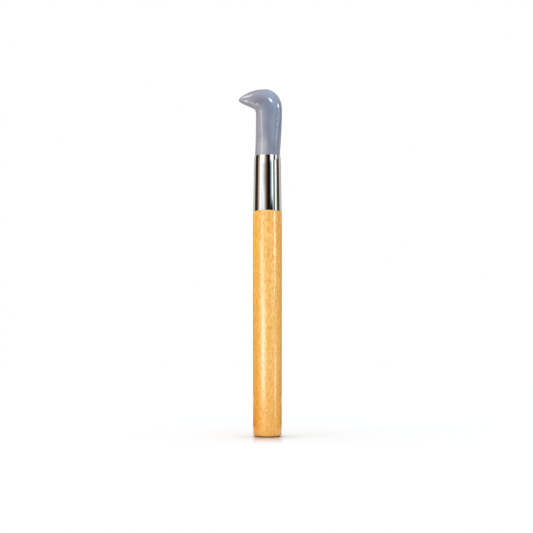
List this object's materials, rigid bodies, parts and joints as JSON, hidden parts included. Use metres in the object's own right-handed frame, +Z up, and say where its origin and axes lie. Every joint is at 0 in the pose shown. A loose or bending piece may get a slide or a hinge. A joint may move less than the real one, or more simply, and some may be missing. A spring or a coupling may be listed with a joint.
{
  "type": "stone burnisher",
  "caption": "Hand burnisher: a polished agate tooth with a short curved beak, set in a tapered plated ferrule on a straight turned wooden handle.",
  "frame": {"origin": "centre of the flat butt face, on the handle's axis", "axes": "+Z up the handle to the stone, the beak points to -X, +Y away from the viewer across the tool"},
  "size_m": [0.0207, 0.0138, 0.1653],
  "materials": {
    "handle_wood": "satin varnished beech with fine short flecks, darker on the butt's edge",
    "ferrule_plating": "mirror-bright plating on a thin brass tube",
    "cement": "hard brown resin cement, hidden inside the ferrule",
    "agate": "polished translucent blue-grey agate, faintly cloudy"
  },
  "bodies": {
    "root": {"wooden_handle": "handle_wood", "ferrule": "ferrule_plating", "setting_cement": "cement", "agate_stone": "agate"}
  },
  "joints": []
}
